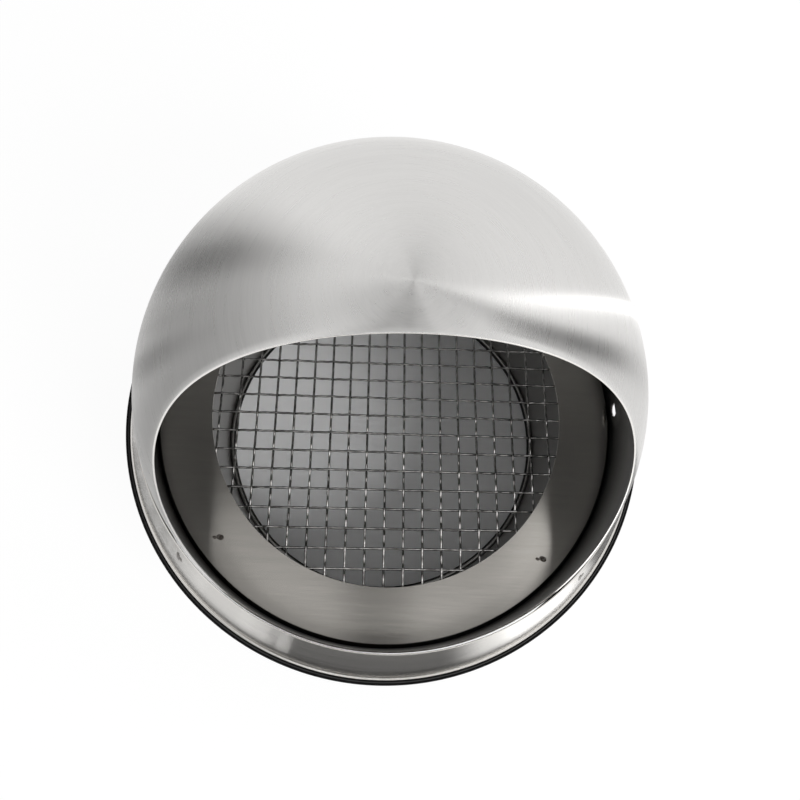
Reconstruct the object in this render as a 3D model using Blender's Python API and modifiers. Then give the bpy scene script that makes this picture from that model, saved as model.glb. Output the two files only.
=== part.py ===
# Ball-type stainless wall vent hood, lying on its back: the duct collar's rear end is on the ground at z = 0,
# the nose of the dome points up along +Z and the mouth opens towards -Y. Lengths are in metres.
import math

import bmesh
import bpy
from mathutils import Vector

# Clearance where two pieces touch
SEAT_GAP = 0.0003

# Collar: the pipe that takes the duct, a little wider at the plate than at its rear end, which is rolled into a hem
COLLAR_REACH = 0.044
COLLAR_RADIUS = 0.0756
COLLAR_TAPER = 0.0004
COLLAR_WALL = 0.0006
COLLAR_FLANGE_INSET = 0.0032
HEM_RADIUS = 0.0011

# Back plate: its front face stands this far off the wall
PLATE_RISE = 0.0057
PLATE_WALL = 0.0008
PLATE_HOLE_MARGIN = 0.0001

# Wire guard behind the plate's hole
WIRE_THICKNESS = 0.00105
WIRE_PITCH = 0.0086
MESH_LAP = 0.004
MESH_BORDER = 0.003
MESH_TURN = math.radians(-1.0)
SMALLEST_GAP_SHARE = 0.12

# Dome: a half ball, its centre this far off the wall, with a straight skirt down to its foot
DOME_RADIUS = 0.09775
DOME_WALL = 0.0008
DOME_RISE = 0.0216

# Mouth: the dome is cut by an arc seen from the side, its centre placed from the dome's centre
MOUTH_RADIUS = 0.1132
MOUTH_FORWARD = 0.1276
MOUTH_RISE = 0.1144

# Screw holes low on the dome's sides, placed from the plate's front face
SCREW_HOLE_RADIUS = 0.0028
SCREW_HOLE_RISE = 0.007
SCREW_HOLE_FORWARD = 0.002

# Flared band round the dome's foot
BAND_RISE = 0.0335
BAND_WALL = 0.0008
BAND_CROWN = 0.0004
BAND_FLARE = 0.0106
FOOT_WIDTH = 0.0009

# Gasket under the band's foot
GASKET_BASE = 0.0014
GASKET_LIP_HEIGHT = 0.001
GASKET_LIP_WIDTH = 0.0016
GASKET_UNDERLAP = 0.0057
GASKET_CHAMFER = 0.0003

# Tabs behind the plate: the front pair stands where the weld marks are, the others lie straight across
TAB_FRONT_ANGLES = (math.radians(-140.5), math.radians(-45.5))
TAB_WIDTH = 0.014
TAB_WALL = 0.0008
TAB_STEP_CLEARANCE = 0.0026
TAB_RISE = 0.012

# Facets
TURN_STEPS = 64
DOME_RINGS = 16
BAND_RINGS = 4
MOUTH_STEPS = 128
HOLE_STEPS = 24
HEM_SIDES = 8
CUTTER_REACH = 3 * DOME_RADIUS

# Steel looks slightly warm
STEEL_TINT = (1.0, 0.985, 0.96)

# Heights that several pieces share
WALL_Z = COLLAR_REACH
PLATE_TOP = WALL_Z + PLATE_RISE
PLATE_BACK = PLATE_TOP - PLATE_WALL
FLANGE_TOP = PLATE_BACK - SEAT_GAP
FLANGE_BACK = FLANGE_TOP - COLLAR_WALL
MESH_TOP = PLATE_BACK - SEAT_GAP
MESH_BACK = MESH_TOP - WIRE_THICKNESS
TAB_TOP = FLANGE_BACK - SEAT_GAP
DOME_FOOT = TAB_TOP + SEAT_GAP
DOME_CENTRE = WALL_Z + DOME_RISE
BAND_TOP = WALL_Z + BAND_RISE
FOOT_BACK = WALL_Z + GASKET_BASE + SEAT_GAP
FOOT_TOP = FOOT_BACK + BAND_WALL


def sphere_radius_at(radius, z):
    """Distance from the axis to the sphere round the dome's centre, at height z."""
    return math.sqrt(radius ** 2 - (z - DOME_CENTRE) ** 2)


# Radii that several pieces share
COLLAR_TOP_RADIUS = COLLAR_RADIUS + COLLAR_TAPER
PLATE_HOLE_RADIUS = COLLAR_TOP_RADIUS - COLLAR_WALL + PLATE_HOLE_MARGIN
PLATE_EDGE_RADIUS = DOME_RADIUS - DOME_WALL - SEAT_GAP
MESH_RADIUS = PLATE_HOLE_RADIUS + MESH_LAP
COLLAR_STEP_RADIUS = MESH_RADIUS + SEAT_GAP
RIM_RADIUS = sphere_radius_at(DOME_RADIUS, BAND_TOP) + SEAT_GAP
FOOT_RADIUS = RIM_RADIUS + BAND_WALL + BAND_FLARE


def clear_scene():
    for obj in list(bpy.data.objects):
        bpy.data.objects.remove(obj, do_unlink=True)


def new_collection(name):
    collection = bpy.data.collections.new(name)
    bpy.context.scene.collection.children.link(collection)
    return collection


def new_material(name, colour, roughness, metallic):
    material = bpy.data.materials.new(name)
    material.use_nodes = True
    shader = material.node_tree.nodes["Principled BSDF"]
    shader.inputs["Base Color"].default_value = (*colour, 1.0)
    shader.inputs["Roughness"].default_value = roughness
    shader.inputs["Metallic"].default_value = metallic
    return material


def steel(name, shade, roughness):
    return new_material(name, [shade * tint for tint in STEEL_TINT], roughness, 1.0)


def add_part(name, data, material, collection):
    obj = bpy.data.objects.new(name, data)
    data.materials.append(material)
    collection.objects.link(obj)
    return obj


def turned(name, profile, material, collection, closed=True):
    """A profile of (radius, height) points, running down its outer side, turned round the Z axis."""
    mesh = bpy.data.meshes.new(name)
    points = [(radius, 0.0, z) for radius, z in profile]
    edges = [(i, i + 1) for i in range(len(points) - 1)]
    if closed:
        edges.append((len(points) - 1, 0))
    mesh.from_pydata(points, edges, [])
    obj = add_part(name, mesh, material, collection)
    screw = obj.modifiers.new("turn", "SCREW")
    screw.axis = "Z"
    screw.steps = TURN_STEPS
    screw.render_steps = TURN_STEPS
    screw.use_merge_vertices = True
    screw.merge_threshold = 0.00001
    screw.use_smooth_shade = True
    return obj


def cylinder_cutter(name, radius, centre, steps, collection):
    """A closed cylinder along the X axis, long enough to pass through the dome."""
    mesh = bpy.data.meshes.new(name)
    bm = bmesh.new()
    bmesh.ops.create_cone(bm, cap_ends=True, segments=steps, radius1=radius, radius2=radius, depth=CUTTER_REACH)
    bm.to_mesh(mesh)
    bm.free()
    cutter = bpy.data.objects.new(name, mesh)
    cutter.rotation_euler = (0.0, math.radians(90.0), 0.0)
    cutter.location = centre
    cutter.hide_render = True
    cutter.display_type = "WIRE"
    collection.objects.link(cutter)
    return cutter


def cut(obj, cutter):
    boolean = obj.modifiers.new(cutter.name, "BOOLEAN")
    boolean.operation = "DIFFERENCE"
    boolean.solver = "EXACT"
    boolean.object = cutter


def flat_outline(name, outlines, thickness, material, collection):
    """A plate whose first outline is its edge and whose other outlines are its holes."""
    curve = bpy.data.curves.new(name, "CURVE")
    curve.dimensions = "2D"
    curve.fill_mode = "BOTH"
    curve.extrude = thickness / 2
    for outline in outlines:
        spline = curve.splines.new("POLY")
        spline.points.add(len(outline) - 1)
        spline.use_cyclic_u = True
        for point, (x, y) in zip(spline.points, outline):
            point.co = (x, y, 0.0, 1.0)
    return add_part(name, curve, material, collection)


def dome_side(radius):
    """Points of one side of the dome's sheet, from the nose to the centre's height and straight down to the foot."""
    angles = [math.pi / 2 * i / DOME_RINGS for i in range(DOME_RINGS + 1)]
    ball = [(radius * math.sin(a), DOME_CENTRE + radius * math.cos(a)) for a in angles]
    return ball + [(radius, DOME_FOOT)]


def build_dome(parts, cutters):
    outer = dome_side(DOME_RADIUS)
    inner = dome_side(DOME_RADIUS - DOME_WALL)
    inner.reverse()
    dome = turned("hood_dome", outer + inner, steel("dome_steel", 0.72, 0.30), parts, closed=False)
    mouth_centre = (0.0, -MOUTH_FORWARD, DOME_CENTRE + MOUTH_RISE)
    cut(dome, cylinder_cutter("mouth_cutter", MOUTH_RADIUS, mouth_centre, MOUTH_STEPS, cutters))
    hole_centre = (0.0, -SCREW_HOLE_FORWARD, PLATE_TOP + SCREW_HOLE_RISE)
    cut(dome, cylinder_cutter("screw_hole_cutter", SCREW_HOLE_RADIUS, hole_centre, HOLE_STEPS, cutters))


def build_band(parts):
    flare = FOOT_RADIUS - FOOT_WIDTH - RIM_RADIUS - BAND_WALL
    outer = []
    inner = []
    for i in range(BAND_RINGS + 1):
        share = i / BAND_RINGS
        radius = RIM_RADIUS + flare * share + 4 * BAND_CROWN * share * (1 - share)
        outer.append((radius + BAND_WALL, BAND_TOP + (FOOT_TOP - BAND_TOP) * share))
        inner.append((radius, BAND_TOP + (FOOT_BACK - BAND_TOP) * share))
    inner.reverse()
    edge = [(FOOT_RADIUS, FOOT_TOP), (FOOT_RADIUS, FOOT_BACK)]
    turned("base_band", outer + edge + inner, steel("band_steel", 0.70, 0.28), parts)


def build_plate(parts):
    profile = [(PLATE_EDGE_RADIUS, PLATE_TOP), (PLATE_EDGE_RADIUS, PLATE_BACK), (PLATE_HOLE_RADIUS, PLATE_BACK),
               (PLATE_HOLE_RADIUS, PLATE_TOP)]
    turned("back_plate", profile, steel("plate_steel", 0.58, 0.36), parts)


def hem_outline():
    """The rolled hem at the collar's rear end, from its outer side round below to its top inside."""
    middle = COLLAR_RADIUS - HEM_RADIUS
    corner = HEM_RADIUS / math.cos(math.pi / HEM_SIDES)
    angles = [math.pi / HEM_SIDES * (1 - 2 * i) for i in range(HEM_SIDES - 1)]
    return [(middle + corner * math.cos(a), HEM_RADIUS + corner * math.sin(a)) for a in angles]


def build_collar(parts):
    step = COLLAR_STEP_RADIUS
    ledge_top = MESH_BACK - SEAT_GAP
    ledge_back = ledge_top - COLLAR_WALL
    flange_edge = PLATE_EDGE_RADIUS - COLLAR_FLANGE_INSET
    flange = [(flange_edge, FLANGE_TOP), (flange_edge, FLANGE_BACK), (step + COLLAR_WALL, FLANGE_BACK),
              (step + COLLAR_WALL, ledge_back), (COLLAR_TOP_RADIUS, ledge_back)]
    bore = [(COLLAR_RADIUS - COLLAR_WALL, 2 * HEM_RADIUS), (COLLAR_TOP_RADIUS - COLLAR_WALL, ledge_top)]
    ledge = [(step, ledge_top), (step, FLANGE_TOP)]
    turned("collar_tube", flange + hem_outline() + bore + ledge, steel("collar_steel", 0.50, 0.40), parts)


def build_gasket(parts):
    lip_inner = FOOT_RADIUS + SEAT_GAP
    lip_outer = lip_inner + GASKET_LIP_WIDTH
    base_top = WALL_Z + GASKET_BASE
    lip_top = base_top + GASKET_LIP_HEIGHT
    inner = FOOT_RADIUS - GASKET_UNDERLAP
    lip = [(lip_outer - GASKET_CHAMFER, lip_top), (lip_outer, lip_top - GASKET_CHAMFER), (lip_outer, WALL_Z)]
    base = [(inner, WALL_Z), (inner, base_top), (lip_inner, base_top), (lip_inner, lip_top)]
    turned("wall_gasket", lip + base, new_material("gasket_rubber", (0.012, 0.012, 0.013), 0.6, 0.0), parts)


def clip_to_circle(corners, radius):
    """The part of a convex outline that lies inside a circle round the origin."""
    kept = []
    for here, there in zip(corners, corners[1:] + corners[:1]):
        if here.length < radius:
            kept.append(here)
        if (here.length < radius) != (there.length < radius):
            along = there - here
            a = along.length_squared
            b = here.dot(along)
            c = here.length_squared - radius ** 2
            root = math.sqrt(b * b - a * c)
            share = (-b + root) / a if here.length < radius else (-b - root) / a
            kept.append(here + along * share)
    return kept


def outline_area(points):
    pairs = zip(points, points[1:] + points[:1])
    return abs(sum(a.x * b.y - b.x * a.y for a, b in pairs)) / 2


def mesh_gaps():
    """The square gaps between the wires, cut off at the guard's border."""
    inside = MESH_RADIUS - MESH_BORDER
    side = WIRE_PITCH - WIRE_THICKNESS
    reach = math.ceil(inside / WIRE_PITCH)
    gaps = []
    for row in range(-reach, reach):
        for column in range(-reach, reach):
            low = Vector((column * WIRE_PITCH + WIRE_THICKNESS / 2, row * WIRE_PITCH + WIRE_THICKNESS / 2))
            corners = [low, low + Vector((side, 0)), low + Vector((side, side)), low + Vector((0, side))]
            gap = clip_to_circle(corners, inside)
            if len(gap) > 2 and outline_area(gap) > SMALLEST_GAP_SHARE * side ** 2:
                gaps.append(gap)
    return gaps


def build_mesh(parts):
    turns = [2 * math.pi * i / TURN_STEPS for i in range(TURN_STEPS)]
    edge = [(MESH_RADIUS * math.cos(a), MESH_RADIUS * math.sin(a)) for a in turns]
    gaps = mesh_gaps()
    print("gaps in the wire guard:", len(gaps))
    guard = flat_outline("wire_mesh", [edge] + gaps, WIRE_THICKNESS, steel("wire_steel", 0.45, 0.35), parts)
    guard.location.z = (MESH_TOP + MESH_BACK) / 2
    guard.rotation_euler.z = MESH_TURN


def build_tabs(parts):
    back = TAB_TOP - TAB_WALL
    top = back + TAB_RISE
    upright = DOME_RADIUS + SEAT_GAP
    outer = upright + TAB_WALL
    toe = COLLAR_STEP_RADIUS + COLLAR_WALL + TAB_STEP_CLEARANCE
    outline = [(toe, back), (outer, back), (outer, top), (upright, top), (upright, TAB_TOP), (toe, TAB_TOP)]
    tab_steel = steel("tab_steel", 0.55, 0.42)
    angles = [a for front in TAB_FRONT_ANGLES for a in (front, front + math.pi)]
    for number, angle in enumerate(angles, start=1):
        tab = flat_outline(f"plate_tab_{number}", [outline], TAB_WIDTH, tab_steel, parts)
        tab.rotation_euler = (math.radians(90.0), 0.0, angle)


def main():
    clear_scene()
    parts = new_collection("wall_vent_hood")
    cutters = new_collection("cutters")
    build_dome(parts, cutters)
    build_band(parts)
    build_plate(parts)
    build_collar(parts)
    build_gasket(parts)
    build_mesh(parts)
    build_tabs(parts)


main()
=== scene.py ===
import math

import bmesh
import bpy
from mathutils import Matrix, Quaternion, Vector


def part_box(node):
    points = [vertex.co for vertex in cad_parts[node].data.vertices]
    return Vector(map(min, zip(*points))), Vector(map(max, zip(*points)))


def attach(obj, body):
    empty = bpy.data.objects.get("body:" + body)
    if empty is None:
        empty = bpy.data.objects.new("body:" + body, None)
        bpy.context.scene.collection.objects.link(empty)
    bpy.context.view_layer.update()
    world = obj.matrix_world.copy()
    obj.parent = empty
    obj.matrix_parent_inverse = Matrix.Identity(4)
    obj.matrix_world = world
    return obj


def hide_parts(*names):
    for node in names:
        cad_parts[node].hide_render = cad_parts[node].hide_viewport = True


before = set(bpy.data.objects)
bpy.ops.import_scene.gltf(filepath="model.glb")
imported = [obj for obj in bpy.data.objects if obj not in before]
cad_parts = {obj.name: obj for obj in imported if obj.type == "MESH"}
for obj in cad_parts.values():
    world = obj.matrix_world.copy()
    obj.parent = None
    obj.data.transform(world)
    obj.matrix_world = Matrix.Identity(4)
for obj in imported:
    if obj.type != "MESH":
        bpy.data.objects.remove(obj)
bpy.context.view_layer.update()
print("frame loaded:", ", ".join(sorted(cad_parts)))

mm = 0.001
domeLow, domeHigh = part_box("hood_dome")
bandLow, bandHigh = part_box("base_band")
plateLow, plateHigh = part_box("back_plate")
collarLow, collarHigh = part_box("collar_tube")
guardLow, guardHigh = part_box("wire_mesh")
gasketLow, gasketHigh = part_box("wall_gasket")


# Shader maths

class Value:  # a shader socket that can be used in sums
    def __init__(self, paint, socket):
        self.paint = paint
        self.socket = socket

    def maths(self, operation, first, second):
        return self.paint.node("Math", {"operation": operation}, {0: first, 1: second})

    def beside(self, name):  # another output of the same node
        return Value(self.paint, self.socket.node.outputs[name])

    def __add__(self, other):
        return self.maths("ADD", self, other)

    __radd__ = __add__

    def __sub__(self, other):
        return self.maths("SUBTRACT", self, other)

    def __rsub__(self, other):
        return self.maths("SUBTRACT", other, self)

    def __mul__(self, other):
        return self.maths("MULTIPLY", self, other)

    def __truediv__(self, other):
        return self.maths("DIVIDE", self, other)

    def __pow__(self, other):
        return self.maths("POWER", self, other)


class Paint:  # the nodes of one material, or of the world
    def __init__(self, owner):
        owner.use_nodes = True
        self.tree = owner.node_tree

    def feed(self, socket, value):
        if isinstance(value, Value):
            self.tree.links.new(value.socket, socket)
        else:
            socket.default_value = value

    def node(self, kind, settings=None, sockets=None, output=0):
        made = self.tree.nodes.new("ShaderNode" + kind)
        for name, value in (settings or {}).items():
            setattr(made, name, value)
        for name, value in (sockets or {}).items():
            self.feed(made.inputs[name], value)
        return Value(self, made.outputs[output])

    def shade(self, kind, sockets):  # sets the sockets of a node that is there from the start
        there = self.tree.nodes[kind]
        for name, value in sockets.items():
            self.feed(there.inputs[name], value)

    def mix(self, share, first, second):  # colours
        sockets = {"Factor": share, 6: first, 7: second}
        return self.node("Mix", {"data_type": "RGBA"}, sockets, output=2)

    def between(self, value, low, high):  # soft step from 0 at low to 1 at high
        sockets = {"Value": value, 1: low, 2: high, 3: 0.0, 4: 1.0}
        return self.node("MapRange", {"interpolation_type": "SMOOTHSTEP"}, sockets)

    def spot(self):  # the place on the piece, in metres
        return self.node("TexCoord", output="Object")

    def axes(self):
        x = self.node("SeparateXYZ", sockets={0: self.spot()}, output="X")
        return x, x.beside("Y"), x.beside("Z")

    def noise(self, scale, detail):
        return self.node("TexNoise", sockets={"Vector": self.spot(), "Scale": scale, "Detail": detail})

    def bump(self, height, strength, depth):
        return self.node("Bump", sockets={"Height": height, "Strength": strength, "Distance": depth})

    def metal(self, colour, rough, bump):
        self.shade("Principled BSDF", {
            "Base Color": colour, "Metallic": 1.0, "Roughness": rough, "Normal": bump})


def newFinish(name):
    material = bpy.data.materials.new(name)
    return material, Paint(material)


def grey(level, warmth=0.02):  # steel leans a little to yellow
    return (level * (1 + warmth), level, level * (1 - 1.6 * warmth), 1.0)


# Brushed steel

brush = {
    "fineShare": 0.6, "broadLength": 3, "broadWidth": 9,  # broad lines among the fine ones, and their scale
    "roughness": 0.6, "contrastEdges": (0.3, 0.7), "lineDepth": 0.02 * mm}


def grainPlace(paint, grain):  # along the brush lines (two values) and across them, in millimetres
    x, y, z = paint.axes()
    if grain["runs"] == "straight":
        turn = math.radians(grain["turn"])
        along = x * (1000 * math.cos(turn)) + y * (1000 * math.sin(turn))
        across = y * (1000 * math.cos(turn)) - x * (1000 * math.sin(turn))
        return along, z * 1000, across
    radius = (x * x + y * y + 1e-9) ** 0.5
    girth = 1000 * grain["radius"]
    if grain["runs"] == "round the nose":
        rise = z - grain["centre"]
        across = radius.maths("ARCTAN2", radius, rise) * girth
    else:
        across = z * 1000
    return x / radius * girth, y / radius * girth, across


def streaks(paint, place, length, width, detail):
    along, beside, across = place
    where = paint.node("CombineXYZ", sockets={0: along / length, 1: beside / length, 2: across / width})
    return paint.node("TexNoise", sockets={
        "Vector": where, "Scale": 1.0, "Detail": detail, "Roughness": brush["roughness"]})


def brushedSteel(name, look, grain):
    material, paint = newFinish(name)
    grid = grainPlace(paint, grain)
    length, width = look["lineLength"], look["lineWidth"]
    fine = streaks(paint, grid, length, width, 3.0)
    broad = streaks(paint, grid, length * brush["broadLength"], width * brush["broadWidth"], 2.0)
    smudge = paint.noise(look["smudgeScale"], 4.0)
    lines = fine * brush["fineShare"] + broad * (1 - brush["fineShare"])
    low = grey(look["shade"] * (1 - look["contrast"]), look["warmth"])
    high = grey(look["shade"] * (1 + look["contrast"]), look["warmth"])
    colour = paint.mix(paint.between(lines, *brush["contrastEdges"]), low, high)
    if "paintedShade" in look:  # painted shade: darker towards the dome's foot, the plate's edge and the bottom of the collar's hem
        along, dark, clear, shade = look["paintedShade"]
        x, y, z = paint.axes()
        place = z if along == "height" else (x * x + y * y) ** 0.5
        colour = paint.mix(paint.between(place, dark, clear), grey(shade), colour)
    rough = look["roughness"] + (lines - 0.5) * look["roughLines"] + (smudge - 0.5) * look["roughSmudge"]
    paint.metal(colour, rough, paint.bump(lines, look["bump"], brush["lineDepth"]))
    paint.shade("Principled BSDF", {
        "Anisotropic": look["anisotropic"], "Anisotropic Rotation": look["rotation"]})
    return material


domeGrain = {"runs": "round the nose", "radius": domeHigh.x, "centre": domeHigh.z - domeHigh.x}
bandGrain = {"runs": "round the axis", "radius": bandHigh.x}
collarGrain = {"runs": "round the axis", "radius": 74.0 * mm}
plateGrain = {"runs": "straight", "turn": -3.0}

domeLook = {
    "shade": 0.745, "warmth": 0.012, "contrast": 0.035,
    "roughness": 0.28, "roughLines": 0.10, "roughSmudge": 0.06,
    "lineLength": 26.0, "lineWidth": 0.40, "smudgeScale": 22.0,
    "bump": 0.16, "anisotropic": 0.96, "rotation": 0.25}
insideLook = {
    "shade": 0.52, "warmth": 0.0, "contrast": 0.05,
    "roughness": 0.52, "roughLines": 0.08, "roughSmudge": 0.05,
    "lineLength": 26.0, "lineWidth": 0.45, "smudgeScale": 18.0,
    "bump": 0.20, "anisotropic": 0.3, "rotation": 0.25,
    # painted shade: the inside wall darker towards the dome's foot
    "paintedShade": ("height", 50.0 * mm, 76.0 * mm, 0.06)}
bandLook = {
    "shade": 0.72, "warmth": 0.03, "contrast": 0.06,
    "roughness": 0.22, "roughLines": 0.10, "roughSmudge": 0.05,
    "lineLength": 30.0, "lineWidth": 0.45, "smudgeScale": 25.0,
    "bump": 0.25, "anisotropic": 0.5, "rotation": 0.25}
plateLook = {
    "shade": 0.68, "warmth": 0.045, "contrast": 0.05,
    "roughness": 0.19, "roughLines": 0.05, "roughSmudge": 0.03,
    "lineLength": 16.0, "lineWidth": 0.30, "smudgeScale": 26.0,
    "bump": 0.20, "anisotropic": 1.0, "rotation": 0.25,
    # painted shade: the plate darker at its edge by the dome's foot
    "paintedShade": ("radius", 96.0 * mm, 95.5 * mm, 0.25)}
collarLook = {
    "shade": 0.27, "warmth": 0.02, "contrast": 0.06,
    "roughness": 0.30, "roughLines": 0.10, "roughSmudge": 0.08,
    "lineLength": 40.0, "lineWidth": 0.80, "smudgeScale": 20.0,
    "bump": 0.20, "anisotropic": 0.0, "rotation": 0.0,
    # painted shadow: the collar near black at the bottom of its hem, by the floor
    "paintedShade": ("height", 2.75 * mm, 2.95 * mm, 0.03)}
tabLook = {
    "shade": 0.50, "warmth": 0.02, "contrast": 0.05,
    "roughness": 0.36, "roughLines": 0.08, "roughSmudge": 0.08,
    "lineLength": 8.0, "lineWidth": 0.40, "smudgeScale": 60.0,
    "bump": 0.15, "anisotropic": 0.0, "rotation": 0.0}

domeSteel = brushedSteel("domeSteel", domeLook, domeGrain)
insideSteel = brushedSteel("insideSteel", insideLook, domeGrain)
bandSteel = brushedSteel("bandSteel", bandLook, bandGrain)
plateSteel = brushedSteel("plateSteel", plateLook, plateGrain)
collarSteel = brushedSteel("collarSteel", collarLook, collarGrain)
tabSteel = brushedSteel("tabSteel", tabLook, plateGrain)


# Other finishes

edgeLook = {
    "shade": 0.85, "burrShade": 0.92, "roughness": 0.20, "roughBurr": 0.2,
    "burrScale": 900.0, "bump": 0.3, "burrDepth": 0.03 * mm}


def cutEdgeAndPaintedHighlight():  # bare metal along the mouth's cut, and a painted highlight on top of the collar's rolled end
    material, paint = newFinish("cutEdgeAndPaintedHighlight")
    burr = paint.noise(edgeLook["burrScale"], 2.0)
    colour = paint.mix(burr, grey(edgeLook["shade"] * edgeLook["burrShade"]), grey(edgeLook["shade"]))
    rough = edgeLook["roughness"] + (burr - 0.5) * edgeLook["roughBurr"]
    paint.metal(colour, rough, paint.bump(burr, edgeLook["bump"], edgeLook["burrDepth"]))
    return material


wireLook = {
    "dark": 0.26, "light": 0.58, "stainScale": 260.0, "stainEdges": (0.38, 0.62),
    "roughness": 0.08, "roughStain": 0.10, "roughDraw": 0.10,
    "drawScale": 1500.0, "bump": 0.3, "drawDepth": 0.02 * mm}


def wireFinish():  # drawn wire, dull where it is stained and bright where it has rubbed
    material, paint = newFinish("wireFinish")
    stain = paint.noise(wireLook["stainScale"], 3.0)
    draw = paint.noise(wireLook["drawScale"], 2.0)
    share = paint.between(stain, *wireLook["stainEdges"])
    colour = paint.mix(share, grey(wireLook["dark"]), grey(wireLook["light"]))
    rough = wireLook["roughness"] + (1 - share) * wireLook["roughStain"]
    rough = rough + (draw - 0.5) * wireLook["roughDraw"]
    paint.metal(colour, rough, paint.bump(draw, wireLook["bump"], wireLook["drawDepth"]))
    return material


rubberLook = {
    # the groove colour is a painted highlight line along the gasket's groove
    "dark": 0.006, "light": 0.016, "groove": 0.035,
    "grooveHighlightRadii": (109.3 * mm, 109.45 * mm, 109.6 * mm, 109.75 * mm),
    "roughness": 0.52, "roughDust": 0.2, "roughGrain": 0.1, "gloss": 0.15,
    "dustScale": 420.0, "dustEdges": (0.55, 0.75),
    "grainScale": 2200.0, "bump": 0.35, "grainDepth": 0.05 * mm}


def gasketRubber():
    material, paint = newFinish("gasketRubber")
    grain = paint.noise(rubberLook["grainScale"], 2.0)
    dust = paint.between(paint.noise(rubberLook["dustScale"], 5.0), *rubberLook["dustEdges"])
    colour = paint.mix(dust, grey(rubberLook["dark"], 0), grey(rubberLook["light"], 0))
    x, y, z = paint.axes()
    radius = (x * x + y * y) ** 0.5
    start, full, still, end = rubberLook["grooveHighlightRadii"]
    groove = paint.between(radius, start, full) - paint.between(radius, still, end)
    colour = paint.mix(groove, colour, grey(rubberLook["groove"], 0))  # painted highlight line along the groove
    rough = rubberLook["roughness"] + dust * rubberLook["roughDust"]
    rough = rough + (grain - 0.5) * rubberLook["roughGrain"]
    paint.shade("Principled BSDF", {
        "Base Color": colour, "Roughness": rough, "Specular IOR Level": rubberLook["gloss"],
        "Normal": paint.bump(grain, rubberLook["bump"], rubberLook["grainDepth"])})
    return material


weldLook = {
    "rim": (0.09, 0.075, 0.06, 1.0), "heart": (0.26, 0.24, 0.22, 1.0), "roughness": 0.38, "roughStain": 0.3,
    "stainScale": 1400.0, "stainEdges": (0.35, 0.65), "bump": 0.4, "stainDepth": 0.05 * mm}


def weldFinish():  # heat-stained steel of a spot weld
    material, paint = newFinish("weldFinish")
    stain = paint.noise(weldLook["stainScale"], 3.0)
    colour = paint.mix(paint.between(stain, *weldLook["stainEdges"]), weldLook["rim"], weldLook["heart"])
    rough = weldLook["roughness"] + (stain - 0.5) * weldLook["roughStain"]
    paint.metal(colour, rough, paint.bump(stain, weldLook["bump"], weldLook["stainDepth"]))
    return material


cutSteelAndPaintedHighlight = cutEdgeAndPaintedHighlight()
wireSteel = wireFinish()
gasketBlack = gasketRubber()
weldSteel = weldFinish()
print("finishes made:", len(bpy.data.materials))


# Mesh tools

def bend(first, corner, last, steps):  # points of a soft corner
    points = []
    for i in range(steps + 1):
        t = i / steps
        points.append(first * (1 - t) ** 2 + corner * (2 * t * (1 - t)) + last * t ** 2)
    return points


softCorner = {"most": 0.45, "support": 1.5, "room": 0.5}  # shares of the sides and of the rounding


def softProfile(corners, steps=5):  # closed outline of (radius, height, rounding), its corners rounded
    outline = []
    count = len(corners)
    for i in range(count):
        before = Vector(corners[i - 1][:2])
        corner = Vector(corners[i][:2])
        after = Vector(corners[(i + 1) % count][:2])
        rounding = corners[i][2]
        if rounding == 0:
            outline.append(corner)
            continue
        back = before - corner
        on = after - corner
        reach = min(rounding, softCorner["most"] * back.length, softCorner["most"] * on.length)
        support = reach * softCorner["support"]
        if support < softCorner["room"] * back.length:
            outline.append(corner + back.normalized() * support)
        outline += bend(corner + back.normalized() * reach, corner, corner + on.normalized() * reach, steps)
        if support < softCorner["room"] * on.length:
            outline.append(corner + on.normalized() * support)
    return outline


def newPiece(name, points, faces, finishes, sharpAngle=40.0):
    mesh = bpy.data.meshes.new(name)
    mesh.from_pydata(points, [], faces)
    for finish in finishes:
        mesh.materials.append(finish)
    form = bmesh.new()
    form.from_mesh(mesh)
    bmesh.ops.recalc_face_normals(form, faces=form.faces)
    form.to_mesh(mesh)
    form.free()
    mesh.shade_smooth()
    mesh.set_sharp_from_angle(angle=math.radians(sharpAngle))
    piece = bpy.data.objects.new(name, mesh)
    bpy.context.scene.collection.objects.link(piece)
    return piece


def ringFaces(rings, around):  # quads between closed rings, the last one joined to the first
    faces = []
    for ring in range(rings):
        here = ring * around
        there = (ring + 1) % rings * around
        for i in range(around):
            j = (i + 1) % around
            faces.append((here + i, here + j, there + j, there + i))
    return faces


def turnedPiece(name, profile, around, finishes):
    points = []
    for radius, height in profile:
        for i in range(around):
            angle = 2 * math.pi * i / around
            points.append((radius * math.cos(angle), radius * math.sin(angle), height))
    return newPiece(name, points, ringFaces(len(profile), around), finishes)


def fit(piece, node):  # the piece stands for a solid of the frame
    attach(piece, "root")
    if node:
        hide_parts(node)


# Dome: half a ball of sheet steel with a straight skirt, its mouth cut along an arc seen from the side

hood = {
    "radius": 97.75 * mm, "wall": 0.65 * mm, "around": 288, "rings": 72, "skirtRings": 24,
    "mouthRadius": 114.3 * mm, "mouthForward": 127.6 * mm, "mouthRise": 114.4 * mm,  # from the ball's centre
    "lip": 0.12 * mm, "lipSteps": 3,
    "rollWidth": 2.6 * mm, "rollDepth": 0.20 * mm, "rollRings": 8,  # the sheet turns in at the mouth
    "holeRadius": 2.8 * mm, "holeForward": 2.0 * mm, "holeRise": 7.0 * mm,  # from the plate's face
    "holeSides": 48, "dimpleRadius": 6.2 * mm, "dimpleDepth": 1.0 * mm, "dimpleSlope": 1.7}
hoodCentre = Vector((0, 0, domeHigh.z - hood["radius"]))


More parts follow.
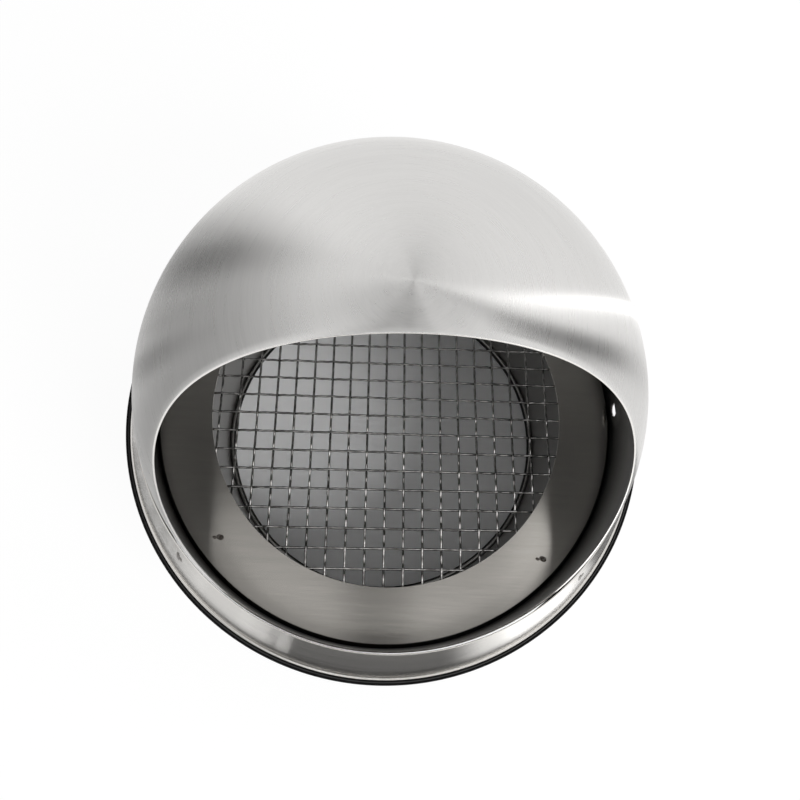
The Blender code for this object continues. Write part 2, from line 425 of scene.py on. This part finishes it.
def mouthPoint(radius, share):  # a point of the mouth's edge on a ball of that radius, from the ball's centre
    forward, rise, arc = hood["mouthForward"], hood["mouthRise"], hood["mouthRadius"]
    distance = math.hypot(forward, rise)
    middle = math.atan2(rise, -forward) + math.pi
    half = math.pi - math.acos((radius ** 2 - distance ** 2 - arc ** 2) / (2 * arc * distance))
    angle = middle + half * math.cos(2 * math.pi * share)
    y = -forward + arc * math.cos(angle)
    z = rise + arc * math.sin(angle)
    x = math.sqrt(max(0.0, radius ** 2 - y ** 2 - z ** 2))
    return Vector((x if share < 0.5 else -x, y, z))


def skirtPoint(radius, share, rise):
    angle = math.pi / 2 - 2 * math.pi * share
    return Vector((radius * math.cos(angle), radius * math.sin(angle), rise))


def onBall(first, last, share):  # along the great circle between two points of the ball
    angle = first.angle(last)
    return (first * math.sin((1 - share) * angle) + last * math.sin(share * angle)) / math.sin(angle)


def pressDimple(point):  # the sheet is pressed in round each screw hole
    offset = math.hypot(point.y + hood["holeForward"], point.z - plateHigh.z - hood["holeRise"])
    share = 1 - offset / hood["dimpleRadius"]
    if share <= 0 or abs(point.x) < 0.5 * hood["radius"]:
        return point
    soft = min(1.0, share * hood["dimpleSlope"])
    depth = hood["dimpleDepth"] * soft * soft * (3 - 2 * soft)
    return point - Vector((point.x, point.y, 0)).normalized() * depth


def sheetSide(radius, share, roll):  # one column of the sheet, from the mouth's edge to the skirt's foot
    edge, waist = mouthPoint(radius, share), skirtPoint(radius, share, 0)
    length, width, lip = radius * edge.angle(waist), hood["rollWidth"], hood["lip"]
    reaches = [lip + (width - lip) * i / hood["rollRings"] for i in range(hood["rollRings"])]
    reaches += [width + (length - width) * i / hood["rings"] for i in range(hood["rings"] + 1)]
    side = []
    for reach in reaches:
        sink = roll * max(0.0, 1 - reach / width) ** 2
        side.append(onBall(edge, waist, reach / length) * (1 - sink / radius))
    drop = domeLow.z - hoodCentre.z
    steps = hood["skirtRings"]
    return side + [skirtPoint(radius, share, drop * (i + 1) / steps) for i in range(steps)]


def buildDome():
    around, rings = hood["around"], hood["rollRings"] + hood["rings"] + hood["skirtRings"]
    outerRadius, innerRadius = hood["radius"], hood["radius"] - hood["wall"]
    columns = []
    for i in range(around):
        share = i / around
        outerEdge, innerEdge = mouthPoint(outerRadius, share), mouthPoint(innerRadius, share)
        outerEdge *= 1 - hood["rollDepth"] / outerRadius
        outside = sheetSide(outerRadius, share, hood["rollDepth"])[::-1]
        inside = sheetSide(innerRadius, share, 0)
        across = (innerEdge - outerEdge).normalized() * hood["lip"]
        lip = bend(outside[-1], outerEdge, outerEdge + across, hood["lipSteps"])[1:]
        lip += bend(innerEdge - across, innerEdge, inside[0], hood["lipSteps"])[:-1]
        columns.append([pressDimple(point + hoodCentre) for point in outside + lip + inside])
    points = [column[ring] for ring in range(len(columns[0])) for column in columns]
    finishes = [domeSteel, insideSteel, cutSteelAndPaintedHighlight]
    dome = newPiece("hoodShell", points, ringFaces(len(columns[0]), around), finishes)
    lipEnd = rings + 2 * hood["lipSteps"]
    for number, face in enumerate(dome.data.polygons):
        ring = number // around
        face.material_index = 0 if ring < rings else 2 if ring < lipEnd else 1
    return dome


def drillSides(dome):  # the screw holes low on the left and right
    form = bmesh.new()
    bmesh.ops.create_cone(
        form, cap_ends=True, segments=hood["holeSides"], depth=3 * hood["radius"],
        radius1=hood["holeRadius"], radius2=hood["holeRadius"])
    drillMesh = bpy.data.meshes.new("drill")
    form.to_mesh(drillMesh)
    form.free()
    drill = bpy.data.objects.new("drill", drillMesh)
    bpy.context.scene.collection.objects.link(drill)
    drill.rotation_euler = (0, math.pi / 2, 0)
    drill.location = (0, -hood["holeForward"], plateHigh.z + hood["holeRise"])
    cut = dome.modifiers.new("drill", "BOOLEAN")
    cut.object = drill
    cut.solver = "EXACT"
    seen = dome.evaluated_get(bpy.context.evaluated_depsgraph_get())
    drilled = bpy.data.meshes.new_from_object(seen)
    dome.modifiers.clear()
    dome.data = drilled
    bpy.data.objects.remove(drill, do_unlink=True)


hoodShell = buildDome()
drillSides(hoodShell)
fit(hoodShell, "hood_dome")
print("dome built:", len(hoodShell.data.polygons), "faces")


# Band round the dome's foot

band = {
    "rimRadius": 97.32 * mm, "footRadius": 108.75 * mm, "footWidth": 0.9 * mm,
    "wall": 0.5 * mm, "crown": 0.4 * mm, "rings": 8, "around": 288,
    "rimRounding": 0.24 * mm, "heelRounding": 0.3 * mm, "edgeRounding": 0.2 * mm}


def bandSwell(share):  # the band bulges outwards between rim and foot
    return 4 * band["crown"] * share * (1 - share)


def bandSide(offset, foot, radiusAtFoot):  # one side of the flared sheet, from the rim down
    start = band["rimRadius"] + offset
    side = []
    for i in range(1, band["rings"]):
        share = i / band["rings"]
        radius = start + (radiusAtFoot - start) * share + bandSwell(share)
        side.append((radius, bandHigh.z + (foot - bandHigh.z) * share, 0))
    return side


def bandAt(share):  # outer radius, height and slope at a share of the way from rim to foot
    rim, heel = band["rimRadius"] + band["wall"], band["footRadius"] - band["footWidth"]
    drop = bandHigh.z - bandLow.z - band["wall"]
    radius = rim + (heel - rim) * share + bandSwell(share)
    return radius, bandHigh.z - drop * share, math.atan2(heel - rim, drop)


def buildBand():
    wall = band["wall"]
    top, footBack = bandHigh.z, bandLow.z
    footTop = footBack + wall
    foot, heel = band["footRadius"], band["footRadius"] - band["footWidth"]
    outer = bandSide(wall, footTop, heel)
    inner = bandSide(0, footBack, heel - wall)
    rim, soft = band["rimRadius"], band["rimRounding"]
    corners = [(rim, top, soft), (rim + wall, top, soft)] + outer
    corners += [(heel, footTop, band["heelRounding"]), (foot, footTop, band["edgeRounding"]),
                (foot, footBack, band["edgeRounding"]), (heel - wall, footBack, band["heelRounding"])]
    corners += reversed(inner)
    return turnedPiece("flaredBand", softProfile(corners), band["around"], [bandSteel])


flaredBand = buildBand()
fit(flaredBand, "base_band")


# Back plate with its round hole

plate = {
    "holeRadius": 74.5 * mm, "flatRadius": 95.65 * mm, "dish": 0.85 * mm, "wall": 0.8 * mm,
    "rounding": 0.3 * mm, "holeRounding": 0.06 * mm, "overlap": 0.05 * mm, "rings": 12, "around": 288,
    "brushFrom": -40.0}


def plateTop(radius):  # the plate rises a little towards the dome
    width = plate["flatRadius"] - plate["holeRadius"]
    return plateHigh.z + plate["dish"] * (radius - plate["holeRadius"]) / width


def buildPlate():  # its edge turns down to the dome's foot
    hole, flat, wall, rounding = plate["holeRadius"], plate["flatRadius"], plate["wall"], plate["rounding"]
    foot = domeLow.z + plate["overlap"]
    edge = hood["radius"] - hood["wall"] + plate["overlap"]
    corners = [(edge, foot, 0), (flat, plateTop(flat), rounding)]
    for i in range(1, plate["rings"]):
        radius = flat + (hole - flat) * i / plate["rings"]
        corners.append((radius, plateTop(radius), 0))
    corners += [(hole, plateHigh.z, plate["holeRounding"]), (hole, plateLow.z, plate["holeRounding"]),
                (flat, plateTop(flat) - wall, 0), (edge - wall, foot, 0)]
    piece = turnedPiece("backPlate", softProfile(corners), plate["around"], [plateSteel])
    piece.data.use_auto_texspace = False  # its brushing runs straight, so the centre is set far off along Y
    piece.data.texspace_location = (0, plate["brushFrom"], 0)
    piece.data.texspace_size = (1, 1, 1)
    return piece


backPlate = buildPlate()
fit(backPlate, "back_plate")


# Collar that enters the duct

collar = {
    "endRadius": 75.6 * mm, "topRadius": 76.0 * mm, "wall": 0.6 * mm, "stepRadius": 79.8 * mm,
    "ledgeTop": 47.25 * mm, "hem": 1.55 * mm, "hemSteps": 26, "rounding": 0.8 * mm, "around": 192,
    "paintedHighlightFrom": 0.90}  # how level the faces with the painted highlight are


def buildCollar():  # its rear end is rolled inwards into a hem
    wall, step, rounding, hem = collar["wall"], collar["stepRadius"], collar["rounding"], collar["hem"]
    flangeTop, ledgeTop = collarHigh.z, collar["ledgeTop"]
    flangeBack, ledgeBack = flangeTop - wall, ledgeTop - wall
    hemCentre = Vector((collar["endRadius"] - hem, collarLow.z + hem))
    corners = [(collarHigh.x, flangeTop, 0), (collarHigh.x, flangeBack, 0), (step + wall, flangeBack, 0),
               (step + wall, ledgeBack, 0), (collar["topRadius"], ledgeBack, rounding)]
    sweep = 2 * math.pi - math.acos(1 - wall / hem)
    for i in range(collar["hemSteps"] + 1):
        angle = -sweep * i / collar["hemSteps"]
        corners.append((hemCentre.x + hem * math.cos(angle), hemCentre.y + hem * math.sin(angle), 0))
    corners += [(collar["topRadius"] - wall, ledgeTop, rounding), (step, ledgeTop, 0), (step, flangeTop, 0)]
    pipe = turnedPiece("collarPipe", softProfile(corners), collar["around"], [collarSteel, cutSteelAndPaintedHighlight])
    for face in pipe.data.polygons:  # painted highlight: the hem's upward inner faces take the bright cut-edge finish
        inward = face.center.x * face.normal.x + face.center.y * face.normal.y < 0
        if face.center.z < collarLow.z + 2 * hem and inward and face.normal.z > collar["paintedHighlightFrom"]:
            face.material_index = 1
    return pipe


collarPipe = buildCollar()
fit(collarPipe, "collar_tube")


# Wall gasket: two ridges with a groove between them

gasket = {
    "innerRadius": 102.3 * mm, "lipInner": 108.95 * mm, "baseTop": 45.4 * mm, "around": 240,
    "groove": 0.5 * mm, "grooveFrom": 1.4, "grooveTo": 1.8, "outerRidge": 2.1,  # thirds of the lip
    "ridgeDrop": 0.1 * mm, "edgeDrop": 0.2 * mm, "ridgeRounding": 0.35 * mm, "grooveRounding": 0.15 * mm,
    "backRounding": 0.25 * mm, "innerRounding": 0.2 * mm}


def buildGasket():
    outer, top, back = gasketHigh.x, gasketHigh.z, gasketLow.z
    inner, base, lip = gasket["innerRadius"], gasket["baseTop"], gasket["lipInner"]
    dip = top - gasket["groove"]
    ridge, groove, soft = gasket["ridgeRounding"], gasket["grooveRounding"], gasket["innerRounding"]
    third = (outer - lip) / 3
    corners = [
        (inner, base, soft), (lip, base, 0), (lip, top, ridge), (lip + third, top, ridge),
        (lip + gasket["grooveFrom"] * third, dip, groove), (lip + gasket["grooveTo"] * third, dip, groove),
        (lip + gasket["outerRidge"] * third, top - gasket["ridgeDrop"], ridge),
        (outer, top - gasket["edgeDrop"], ridge), (outer, back, gasket["backRounding"]), (inner, back, soft)]
    return turnedPiece("gasketRing", softProfile(corners, 4), gasket["around"], [gasketBlack])


gasketRing = buildGasket()
fit(gasketRing, "wall_gasket")
print("band, plate, collar and gasket turned")


# Woven wire guard

guard = {
    "wire": 0.98 * mm, "columnPitch": 7.81 * mm, "rowPitch": 8.0 * mm, "turn": -1.0,
    "crossing": (-24.3 * mm, 21.0 * mm), "radius": 79.2 * mm, "crimp": 0.46 * mm, "lock": 0.48,
    "sides": 10, "stepsPerPitch": 14, "sharpAngle": 60.0}


def wireRuns(pitch, crossPitch, at):  # each wire's number, offset and half length
    first = math.ceil((-guard["radius"] - at) / pitch)
    last = math.floor((guard["radius"] - at) / pitch)
    for number in range(first, last + 1):
        offset = at + number * pitch
        half = math.sqrt(max(0.0, guard["radius"] ** 2 - offset ** 2))
        if half > crossPitch:
            yield number, offset, half


def addWire(points, faces, path, side):  # a round tube along the path; side is the level direction across it
    sides, radius = guard["sides"], guard["wire"] / 2
    start = len(points)
    for point in path:
        for i in range(sides):
            angle = 2 * math.pi * i / sides
            lift = Vector((0, 0, radius * math.sin(angle)))
            points.append(point + side * (radius * math.cos(angle)) + lift)
    for ring in range(len(path) - 1):
        for i in range(sides):
            j = (i + 1) % sides
            here, there = start + ring * sides, start + (ring + 1) * sides
            faces.append((here + i, here + j, there + j, there + i))
    faces.append([start + i for i in range(sides)])
    faces.append([len(points) - sides + i for i in range(sides)])


def buildGuard():
    level = (guardLow.z + guardHigh.z) / 2
    slant = math.radians(guard["turn"])
    along = Vector((math.cos(slant), math.sin(slant), 0))
    across = Vector((-math.sin(slant), math.cos(slant), 0))
    crossing = Vector((*guard["crossing"], 0))
    atColumn, atRow = crossing.dot(along), crossing.dot(across)
    sets = [(guard["rowPitch"], guard["columnPitch"], atRow, atColumn, along, across, 1),
            (guard["columnPitch"], guard["rowPitch"], atColumn, atRow, across, along, -1)]
    points, faces = [], []
    for pitch, crossPitch, at, crossAt, runs, side, parity in sets:
        for number, offset, half in wireRuns(pitch, crossPitch, at):
            steps = math.ceil(2 * half / crossPitch * guard["stepsPerPitch"])
            path = []
            for i in range(steps + 1):
                reach = -half + 2 * half * i / steps
                turn = math.pi * (reach - crossAt) / crossPitch
                wave = (1 - guard["lock"]) * math.cos(turn) + guard["lock"] * math.cos(3 * turn)
                lift = parity * (-1) ** number * guard["crimp"] * wave
                path.append(runs * reach + side * offset + Vector((0, 0, level + lift)))
            addWire(points, faces, path, side)
    return newPiece("wovenGuard", points, faces, [wireSteel], guard["sharpAngle"])


wovenGuard = buildGuard()
fit(wovenGuard, "wire_mesh")
print("guard woven:", len(wovenGuard.data.polygons), "faces")


# Spot weld marks on plate and band, in front of the tabs

welds = {
    "front": ((-140.7, 86.8 * mm), (-45.7, 89.1 * mm)), "bandRise": 25.3 * mm,  # angle, radius on the plate
    "ring": 1.0 * mm, "bead": 0.30 * mm, "dot": 0.75 * mm, "dotOffset": 2.2 * mm,
    "beadProfile": ((1.0, 0), (0.3, 0.09 * mm), (-0.5, 0.08 * mm), (-1.6, 0.02 * mm)),  # share, lift
    "dotProfile": ((1.0, 0), (0.6, 0.08 * mm)),
    "wobble": 0.18, "wobbleFrom": 0.8, "sink": 0.01 * mm, "around": 20,
    "onPlate": (1, 1), "onBand": (0.72, 3.2)}  # drawn out down the band


def weldMark(points, faces, centre, normal, level, wide, tall):  # an uneven ring with a dot beside it
    side = level.cross(normal).normalized()
    count = welds["around"]
    dotCentre = centre + level * (welds["dotOffset"] * wide)
    bead = [(centre, welds["ring"] + share * welds["bead"], lift) for share, lift in welds["beadProfile"]]
    dot = [(dotCentre, share * welds["dot"], lift) for share, lift in welds["dotProfile"]]
    for group in (bead, dot):
        start = len(points)
        for middle, radius, lift in group:
            for i in range(count):
                angle = 2 * math.pi * i / count
                uneven = radius * (1 + welds["wobble"] * math.sin(2 * angle + welds["wobbleFrom"]))
                flat = level * (uneven * wide * math.cos(angle)) + side * (uneven * tall * math.sin(angle))
                points.append(middle + flat + normal * lift)
        for ring in range(len(group) - 1):
            for i in range(count):
                j = (i + 1) % count
                here, there = start + ring * count, start + (ring + 1) * count
                faces.append((here + i, here + j, there + j, there + i))
        faces.append([len(points) - count + i for i in range(count)])
        faces.append([start + i for i in reversed(range(count))])


def buildWelds():
    rise = bandHigh.z - gasketLow.z - welds["bandRise"]
    bandRadius, markHeight, slope = bandAt(rise / (bandHigh.z - bandLow.z - band["wall"]))
    sink = welds["sink"]
    plateMarks, bandMarks = ([], []), ([], [])
    tilt = math.atan2(plate["dish"], plate["flatRadius"] - plate["holeRadius"])
    up = Vector((0, 0, 1))
    for front, radius in welds["front"]:
        for angle in (math.radians(front), math.radians(front) + math.pi):
            outward = Vector((math.cos(angle), math.sin(angle), 0))
            level = Vector((-math.sin(angle), math.cos(angle), 0))
            normal = up * math.cos(tilt) - outward * math.sin(tilt)
            left = (normal * normal.x - Vector((1, 0, 0))).normalized()
            place = outward * radius + up * (plateTop(radius) - sink)
            weldMark(*plateMarks, place, normal, left, *welds["onPlate"])
            normal = outward * math.cos(slope) + up * math.sin(slope)
            place = outward * (bandRadius - sink) + up * markHeight
            weldMark(*bandMarks, place, normal, level, *welds["onBand"])
    return newPiece("plateWelds", *plateMarks, [weldSteel]), newPiece("bandWelds", *bandMarks, [weldSteel])


plateWelds, bandWelds = buildWelds()
fit(plateWelds, None)
fit(bandWelds, None)

for number in range(1, 5):
    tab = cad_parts[f"plate_tab_{number}"]
    tab.data.materials.clear()
    tab.data.materials.append(tabSteel)
print("weld marks set, tabs finished")


# Floor, light and camera

studio = {
    "floorHalf": 2.0, "floorDrop": 0.1 * mm, "floorShade": 0.92, "floorWhite": 0.94,
    "underHood": 112.0 * mm, "worldLight": 0.62}


def raysShown(paint):  # rays that see the white surroundings: the camera's own and those in metal or glass
    camera = paint.node("LightPath", output="Is Camera Ray")
    shown = camera + camera.beside("Is Glossy Ray") + camera.beside("Is Transmission Ray")
    return shown.maths("MINIMUM", shown, 1.0)


def floorFinish():
    material, paint = newFinish("floorFinish")
    x, y, z = paint.axes()
    radius = (x * x + y * y) ** 0.5
    outside = radius.maths("GREATER_THAN", radius, studio["underHood"])
    matt = paint.node("BsdfDiffuse", sockets={"Color": grey(studio["floorShade"], 0)})
    white = paint.node("Emission", sockets={"Color": grey(1.0, 0), "Strength": 1.0})
    share = raysShown(paint) * outside * studio["floorWhite"]
    both = paint.node("MixShader", sockets={0: share, 1: matt, 2: white})
    paint.shade("Material Output", {"Surface": both})
    return material


def buildFloor():
    half, height = studio["floorHalf"], -studio["floorDrop"]
    corners = [(-half, -half, height), (half, -half, height), (half, half, height), (-half, half, height)]
    floor = newPiece("floor", corners, [(0, 1, 2, 3)], [floorFinish()])


viewpoint = {
    "place": (-15.64 * mm, -83.24 * mm, 316.75 * mm), "aim": (3.925 * mm, 0.052 * mm, 60 * mm),
    "roll": 13.395, "lens": 29.306, "sensor": 36.0, "near": 0.01}

# Soft panels that only reflections see, later ones in front of earlier ones. A panel's path is three points.
# On dome and plate they say where the camera sees the panel's reflection: polar angle and azimuth on the
# dome, y and x on the plate. Else they are radius on the floor, or height in the sky, and azimuth.
panels = [
    {"name": "overhead", "on": "plate", "path": ((-150, 0), (-40, 0), (60, 0)),
     "wide": 110, "soft": 0.5, "level": 0.355},
    {"name": "overheadRight", "on": "plate", "path": ((-110, 60), (-60, 60), (-10, 60)),
     "wide": 30, "soft": 0.8, "level": 0.95},
    {"name": "overheadMiddle", "on": "plate", "path": ((-150, -4), (-40, -4), (60, -4)),
     "wide": 16, "soft": 0.8, "level": 0.10},
    {"name": "overheadFront", "on": "plate", "path": ((-200, 20), (-155, 20), (-112, 20)),
     "wide": 110, "soft": 0.25, "level": 1.75},
    {"name": "whiteFan", "on": "dome", "path": ((5, -20), (28, 0.7), (62, 10)),
     "wide": 2.3, "soft": 0.8, "level": 3.2},
    {"name": "greySide", "on": "dome", "path": ((12, -27), (24, -23), (36, -19)),
     "wide": 8, "soft": 0.8, "level": 0.55},
    {"name": "greyFan", "on": "dome", "path": ((11, -23), (28, -14), (46, -7)),
     "wide": 5.6, "soft": 0.7, "level": 0.0},
    {"name": "leftFan", "on": "dome", "path": ((14, 180), (38, 180), (61, 180)),
     "wide": 42, "soft": 0.6, "level": 0.36},
    {"name": "deepFan", "on": "dome", "path": ((22, 163), (38, 164), (54, 167)),
     "wide": 11, "soft": 0.9, "level": 0.08},
    {"name": "lowSide", "on": "dome", "path": ((40, 208), (62, 208), (84, 208)),
     "wide": 22, "soft": 0.6, "level": 0.35},
    {"name": "lowFan", "on": "dome", "path": ((38, 187), (50, 187), (62, 187)),
     "wide": 6, "soft": 0.9, "level": 0.08},
    {"name": "floorLeft", "on": "floor", "path": ((112, -165), (156, -165), (200, -165)),
     "wide": 52, "soft": 0.3, "level": 0.75},
    {"name": "floorDark", "on": "floor", "path": ((100, -95), (170, -95), (240, -95)),
     "wide": 32, "soft": 0.4, "level": 0.12},
    {"name": "floorLight", "on": "floor", "path": ((100, -50), (170, -50), (240, -50)),
     "wide": 14, "soft": 0.6, "level": 1.7},
    {"name": "floorRight", "on": "floor", "path": ((100, -21), (210, -21), (320, -21)),
     "wide": 15, "soft": 0.4, "level": 0.04},
    {"name": "skyDark", "on": "sky", "path": ((12, -92), (38, -92), (64, -92)),
     "wide": 44, "soft": 0.4, "level": 0.06},
    {"name": "horizonLeft", "on": "sky", "path": ((-1, -114), (11, -114), (23, -114)),
     "wide": 22, "soft": 0.6, "level": 0.6},
    {"name": "horizonRight", "on": "sky", "path": ((-1, -62), (10, -62), (21, -62)),
     "wide": 18, "soft": 0.6, "level": 2.2}]
stand = {"reach": 1.4, "nearer": 0.02, "clear": 2.0 * mm, "steps": 24, "softEnds": 0.5}


def facing(rise, azimuth):
    rise, azimuth = math.radians(rise), math.radians(azimuth)
    return Vector((math.cos(rise) * math.cos(azimuth), math.cos(rise) * math.sin(azimuth), math.sin(rise)))


def mirrored(point, normal, reach):  # where a look from the camera goes on to
    gaze = (point - Vector(viewpoint["place"])).normalized()
    onward = gaze - normal * (2 * gaze.dot(normal))
    if onward.z < 0:
        reach = min(reach, (point.z - stand["clear"]) / -onward.z)
    return point + onward * reach


def onDome(polar, azimuth, reach):
    normal = facing(90 - polar, azimuth)
    return mirrored(hoodCentre + normal * hood["radius"], normal, reach)


def onPlate(y, x, reach):
    return mirrored(Vector((x * mm, y * mm, plateHigh.z)), Vector((0, 0, 1)), reach)


def onFloor(radius, azimuth, reach):
    return facing(0, azimuth) * (radius * mm) + Vector((0, 0, stand["clear"]))


def inSky(rise, azimuth, reach):
    return hoodCentre + facing(rise, azimuth) * reach


def panelFinish(level):
    material, paint = newFinish("panelFinish")
    cover = paint.node("Attribute", {"attribute_name": "cover"}, output="Fac")
    glow = paint.node("Emission", sockets={"Color": grey(1.0, 0), "Strength": level})
    both = paint.node("MixShader", sockets={0: cover, 1: paint.node("BsdfTransparent"), 2: glow})
    paint.shade("Material Output", {"Surface": both})
    return material


def fade(place, soft):  # 1 in the middle of a panel, 0 at its edge
    share = min(1.0, (1 - abs(place)) / soft)
    return share * share * (3 - 2 * share)


def reflectionsOnly(piece):
    piece.visible_camera = False
    piece.visible_diffuse = False
    piece.visible_shadow = False
    piece.visible_transmission = False


def buildPanel(number, panel):
    steps = stand["steps"]
    spot = {"dome": onDome, "plate": onPlate, "floor": onFloor, "sky": inSky}[panel["on"]]
    reach = stand["reach"] * (1 - stand["nearer"] * number)
    first, middle, last = (Vector(place) for place in panel["path"])
    points, cover, faces = [], [], []
    for row, place in enumerate(bend(first, middle * 2 - (first + last) / 2, last, steps)):
        for column in range(steps + 1):
            aside = 2 * column / steps - 1
            points.append(spot(place.x, place.y + aside * panel["wide"], reach))
            cover.append(fade(aside, panel["soft"]) * fade(2 * row / steps - 1, stand["softEnds"]))
    for row in range(steps):
        for column in range(steps):
            corner = row * (steps + 1) + column
            faces.append((corner, corner + 1, corner + steps + 2, corner + steps + 1))
    piece = newPiece(panel["name"] + "Panel", points, faces, [panelFinish(panel["level"])])
    piece.data.attributes.new("cover", "FLOAT", "POINT").data.foreach_set("value", cover)
    reflectionsOnly(piece)


def buildWorld():
    world = bpy.data.worlds.new("studio")
    bpy.context.scene.world = world
    paint = Paint(world)
    strength = studio["worldLight"] + raysShown(paint) * (1 - studio["worldLight"])
    paint.shade("Background", {"Color": grey(1.0, 0), "Strength": strength})


lamps = [
    {"name": "softFront", "place": (0.8, -0.85, 0.85), "size": 0.6, "power": 19.0},
    {"name": "softRight", "place": (0.9, 0.4, 0.9), "size": 0.8, "power": 4.0}]


def buildLamp(lamp):
    data = bpy.data.lights.new(lamp["name"], "AREA")
    data.size = lamp["size"]
    data.energy = lamp["power"]
    piece = bpy.data.objects.new(lamp["name"], data)
    bpy.context.scene.collection.objects.link(piece)
    piece.location = lamp["place"]
    piece.rotation_euler = (hoodCentre - piece.location).to_track_quat("-Z", "Y").to_euler()
    piece.visible_glossy = False


def buildCamera():
    data = bpy.data.cameras.new("viewpoint")
    data.lens = viewpoint["lens"]
    data.sensor_width = viewpoint["sensor"]
    data.clip_start = viewpoint["near"]
    piece = bpy.data.objects.new("viewpoint", data)
    bpy.context.scene.collection.objects.link(piece)
    piece.location = viewpoint["place"]
    gaze = (Vector(viewpoint["aim"]) - piece.location).to_track_quat("-Z", "Y")
    piece.rotation_euler = (gaze @ Quaternion((0, 0, 1), math.radians(viewpoint["roll"]))).to_euler()
    bpy.context.scene.camera = piece


buildFloor()
for number, panel in enumerate(panels):
    buildPanel(number, panel)
buildWorld()
for lamp in lamps:
    buildLamp(lamp)
buildCamera()
bpy.context.scene.view_settings.view_transform = "Standard"
print("studio set:", len(panels), "panels,", len(lamps), "lamps")
